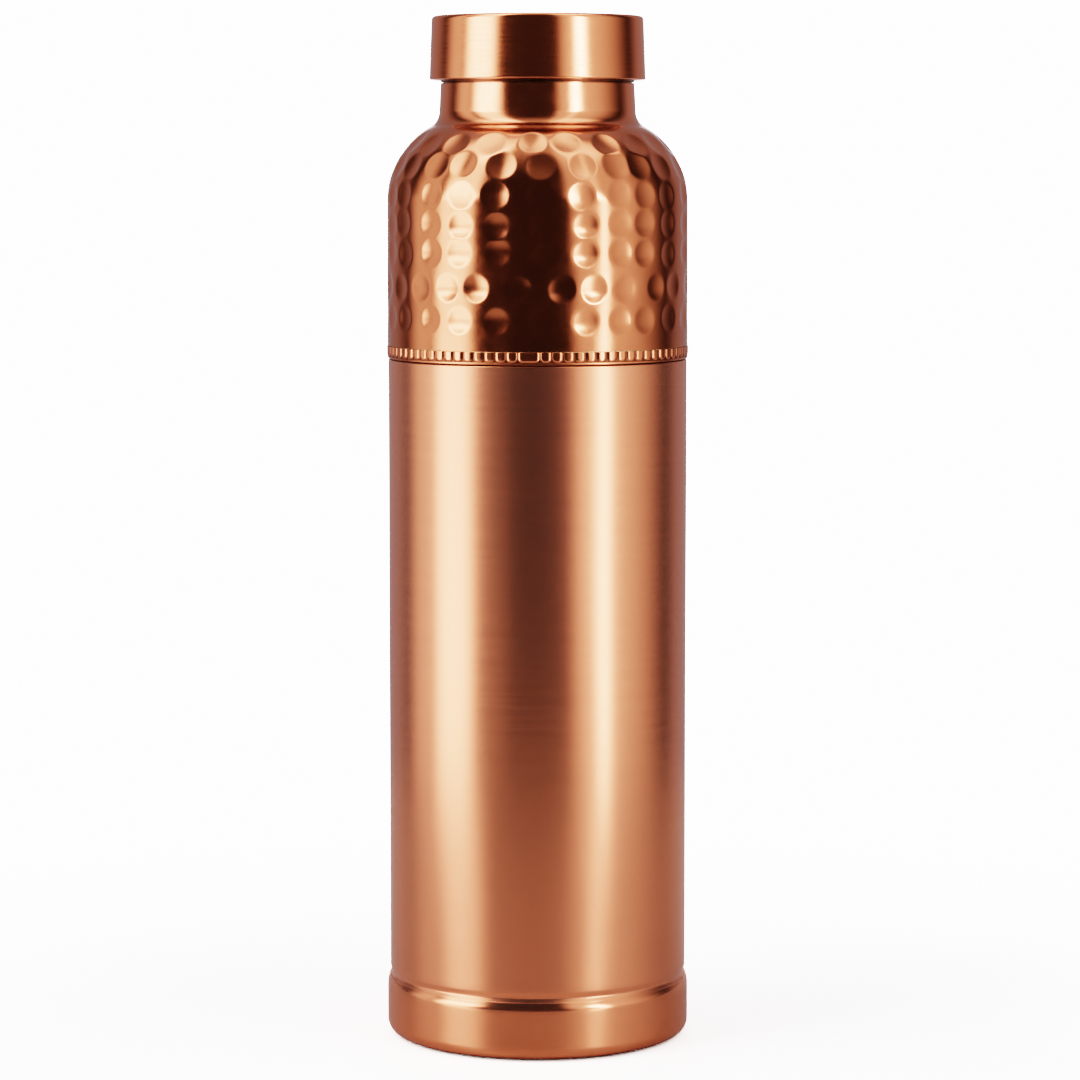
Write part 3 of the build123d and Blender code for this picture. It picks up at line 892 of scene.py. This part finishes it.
def soft_box(side, rise, fall, strength, foot=(-91, -90), top=(62, 84), lean=0.0):
    """A tall lamp on one side of the camera: -1 is left and 1 is right. Its edges are bearings counted
    from the camera, and above eye level it leans in by some degrees. Foot and top are its elevations."""
    leant = maths(tree, "MULTIPLY", risen, lean)
    turned_to = maths(tree, "ADD", maths(tree, "MULTIPLY", bearing, side), leant)
    shape = maths(tree, "MULTIPLY", window(turned_to, rise, fall), window(elevation, foot, top))
    return maths(tree, "MULTIPLY", shape, strength)


def main_box(side, rise, fall, strength, hot, top):
    """A soft box whose face has only a share of its strength, and a hotter stretch at eye level."""
    face = maths(tree, "ADD", body_of_box, maths(tree, "MULTIPLY", eye_level, hot))
    return maths(tree, "MULTIPLY", soft_box(side, rise, fall, strength, top=top, lean=9), face)


def total(parts):
    """Sum of several sockets."""
    result = parts[0]
    for part in parts[1:]:
        result = maths(tree, "ADD", result, part)
    return result


RIGHT_BOX = (44, 52), (53, 60)
lamps = [
    main_box(-1, (46, 61), (76, 91), 12.5, hot=0.38, top=(62, 84)),
    main_box(1, *RIGHT_BOX, 22.0, hot=0.7, top=(8, 12)),
    # above eye level the right box carries on far dimmer
    soft_box(1, *RIGHT_BOX, 1.2, foot=(8, 12), lean=9),
    # a low reflector on the left, and dim panels that widen both highlights outwards
    soft_box(-1, (18, 30), (40, 60), 0.4, top=(-14, -3)),
    soft_box(-1, (84, 94), (100, 120), 1.0, lean=6),
    soft_box(1, (23, 35), (62, 118), 1.05, lean=6),
    # two panels overhead, for the faces that look upwards
    soft_box(-1, (40, 62), (95, 130), 2.3, foot=(42, 58), top=(95, 96)),
    soft_box(1, (34, 56), (85, 115), 2.0, foot=(42, 58), top=(95, 96)),
    # a slit of light behind the bottle, which draws its very edge
    maths(tree, "MULTIPLY", window(away, (168, 176), (190, 191)), 2.0),
]
walls = remap(tree, away, 112.0, 138.0, 0.045, 0.32)
ceiling = remap(tree, elevation, 38.0, 84.0, 0.0, 0.6)
light = total(lamps + [walls, ceiling])
print(len(lamps), "lamps")

# %% Background
tint = blend(tree, remap(tree, away, 95.0, 135.0, 0.0, 1.0), (1.0, 0.98, 0.95, 1.0), (0.95, 0.95, 1.08, 1.0))
seen = add(tree, "ShaderNodeLightPath").outputs["Is Camera Ray"]
tree.links.new(blend(tree, seen, tint, (1.0, 1.0, 1.0, 1.0)), background.inputs["Color"])
shown = add(tree, "ShaderNodeMix", {0: seen, 2: light, 3: 9.0}).outputs[0]
tree.links.new(shown, background.inputs["Strength"])

# %% [markdown]
# ## Table
# The bottle stands on a small white table. To the lens it has to be as white as the backdrop, with only
# the shade under the foot left, while the metal must still see it as an ordinary pale sheet.
# So the table has a grey satin face for the metal, which also mirrors the lamps faintly into the foot.
# For the lens it has a bright matt face, which fades into the backdrop's white towards the rim.
# From below, the table is clear, so that the underside of the foot can be looked at.

# %% Table
TABLE_R, HUB_R, TABLE_GAP = 420, 20, 0.2
table_r = np.append(np.linspace(TABLE_R, HUB_R, 20), 0)
table_z = np.full(len(table_r), cad_low.z / MM - TABLE_GAP)
table = skin("Table", table_r, table_z, columns(96), closed=False)

# %% White sheet on the table
sheet = bpy.data.materials.new("white_table")
sheet.use_nodes = True
tree = sheet.node_tree
tree.nodes.clear()
satin_grey = {"Base Color": (0.38, 0.38, 0.38, 1.0), "Roughness": 0.28, "IOR": 1.7}
metal_face = add(tree, "ShaderNodeBsdfPrincipled", satin_grey)
bright_face = add(tree, "ShaderNodeBsdfDiffuse", {"Color": (5.2, 5.0, 4.98, 1.0)})
white = add(tree, "ShaderNodeEmission", {"Color": (1.0, 1.0, 1.0, 1.0), "Strength": 9.0})
place = add(tree, "ShaderNodeTexCoord").outputs["Object"]
distance = add(tree, "ShaderNodeVectorMath", {0: place}, operation="LENGTH").outputs["Value"]
fade = remap(tree, distance, 0.1, 0.3, 0.0, 1.0)
lens_face = add(tree, "ShaderNodeMixShader", {0: fade, 1: bright_face.outputs[0], 2: white.outputs[0]})
seen = add(tree, "ShaderNodeLightPath").outputs["Is Camera Ray"]
face = add(tree, "ShaderNodeMixShader", {0: seen, 1: metal_face.outputs[0], 2: lens_face.outputs[0]})
below = add(tree, "ShaderNodeNewGeometry").outputs["Backfacing"]
clear = add(tree, "ShaderNodeBsdfTransparent")
whole = add(tree, "ShaderNodeMixShader", {0: below, 1: face.outputs[0], 2: clear.outputs[0]})
tree.links.new(whole.outputs[0], add(tree, "ShaderNodeOutputMaterial").inputs["Surface"])
table.data.materials.append(sheet)

# %% [markdown]
# ## Camera
# A product photographer uses a long lens from about a metre away, so that the tube's sides stay
# parallel, and looks down a little, so that the foot curves and the crown is just seen.
# The film response has strong contrast: copper's highlights go to cream before they clip.

# %% Camera and film
lens = bpy.data.cameras.new("Camera")
lens.lens, lens.sensor_width = 128.1, 36.0
camera = bpy.data.objects.new("Camera", lens)
camera.location = (0.0006, -0.9635, 0.2224)
camera.rotation_euler = (math.radians(84.23), 0, 0)
bpy.context.scene.collection.objects.link(camera)
bpy.context.scene.camera = camera
bpy.context.scene.view_settings.view_transform = "Filmic"
bpy.context.scene.view_settings.look = "High Contrast"
print("the lens is", round(abs(camera.location.y), 3), "m away, and", round(camera.location.z, 3), "m high")
